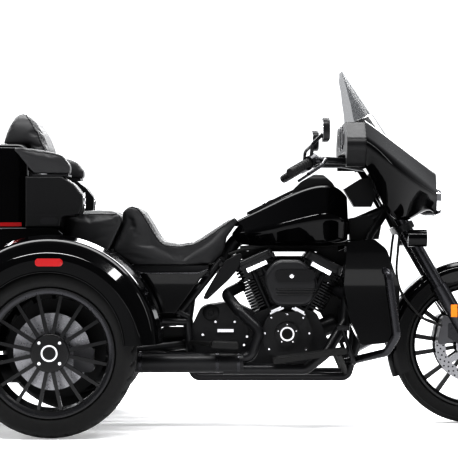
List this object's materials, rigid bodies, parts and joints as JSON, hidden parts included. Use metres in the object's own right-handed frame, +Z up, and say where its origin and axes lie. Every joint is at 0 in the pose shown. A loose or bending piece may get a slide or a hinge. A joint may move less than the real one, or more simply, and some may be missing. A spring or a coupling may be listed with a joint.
{
  "type": "motorized trike",
  "caption": "Full-size touring trike with an air-cooled vee engine, fork-mounted fairing, two-up seat, luggage box and wide rear fenders over a trunk body.",
  "frame": {"origin": "on the ground at the middle of the length and width", "axes": "+X forward, +Y to the rider's left, +Z up"},
  "size_m": [2.67, 1.39, 1.441],
  "materials": {
    "gloss_black": "gloss black lacquer",
    "satin_black": "satin black powder coat",
    "engine_black": "wrinkle black",
    "fin_black": "black cooling fins with bright edges",
    "bright_trim": "polished chrome",
    "graphite": "dark grey metallic",
    "wheel_black": "gloss black cast alloy",
    "tyre_rubber": "black tyre rubber",
    "disc_steel": "ground steel",
    "caliper_grey": "dark grey",
    "seat_leather": "black seat cover",
    "dark_plastic": "dark moulded plastic",
    "soft_rubber": "ribbed black rubber",
    "red_lens": "red lens",
    "amber_lens": "amber lens in a black shell",
    "clear_lens": "clear lens",
    "tinted_screen": "grey tinted screen"
  },
  "bodies": {
    "chassis": {"fuel_tank": "gloss_black", "rear_fenders": "gloss_black", "trunk_body": "gloss_black", "luggage_box": "gloss_black", "lower_fairings": "gloss_black", "side_covers": "gloss_black", "frame": "satin_black", "rear_axle": "satin_black", "shock_absorbers": "satin_black", "exhaust": "satin_black", "battery_box": "satin_black", "engine_cases": "engine_black", "air_cleaner": "engine_black", "cylinder_rear": "fin_black", "cylinder_front": "fin_black", "pushrod_tubes": "bright_trim", "foot_pedals": "bright_trim", "engine_guard": "graphite", "rear_calipers": "caliper_grey", "rider_seat": "seat_leather", "passenger_seat": "seat_leather", "backrest": "seat_leather", "arm_pads": "seat_leather", "speaker_pods": "dark_plastic", "tank_console": "dark_plastic", "air_deflectors": "dark_plastic", "footboards": "soft_rubber", "rear_lamps": "red_lens"},
    "steering": {"fork_yoke": "satin_black", "fork_legs": "graphite", "front_calipers": "caliper_grey", "front_fender": "gloss_black", "handlebar": "satin_black", "grips": "soft_rubber", "hand_controls": "graphite", "mirrors": "satin_black", "fairing_outer": "gloss_black", "fairing_inner": "dark_plastic", "headlamp": "clear_lens", "windshield": "tinted_screen", "turn_signals": "amber_lens"},
    "front_wheel_set": {"front_wheel": "wheel_black", "front_tyre": "tyre_rubber", "front_discs": "disc_steel"},
    "rear_wheel_set_right": {"rear_wheel_right": "wheel_black", "rear_tyre_right": "tyre_rubber", "rear_disc_right": "disc_steel"},
    "rear_wheel_set_left": {"rear_wheel_left": "wheel_black", "rear_tyre_left": "tyre_rubber", "rear_disc_left": "disc_steel"},
    "luggage_lid_panel": {"luggage_lid": "gloss_black"},
    "trunk_door_panel": {"trunk_door": "gloss_black"}
  },
  "joints": [
    {"name": "steering_turn", "type": "hinge", "parent": "chassis", "child": "steering", "pos_m": [0.68729, 0, 0.88], "axis": [-0.4384, 0, 0.8988], "range_deg": [-35, 35]},
    {"name": "front_wheel_spin", "type": "hinge", "parent": "steering", "child": "front_wheel_set", "pos_m": [1.0155, 0, 0.3195], "axis": [0, 1, 0], "continuous": true},
    {"name": "rear_wheel_right_spin", "type": "hinge", "parent": "chassis", "child": "rear_wheel_set_right", "pos_m": [-0.6545, -0.562, 0.3255], "axis": [0, 1, 0], "continuous": true},
    {"name": "rear_wheel_left_spin", "type": "hinge", "parent": "chassis", "child": "rear_wheel_set_left", "pos_m": [-0.6545, 0.562, 0.3255], "axis": [0, 1, 0], "continuous": true},
    {"name": "luggage_lid_hinge", "type": "hinge", "parent": "chassis", "child": "luggage_lid_panel", "pos_m": [-1.1, 0.308, 1.022], "axis": [-1, 0, 0], "range_deg": [0, 85]},
    {"name": "trunk_door_hinge", "type": "hinge", "parent": "chassis", "child": "trunk_door_panel", "pos_m": [-1.325, 0, 0.425], "axis": [0, -1, 0], "range_deg": [0, 90]}
  ]
}
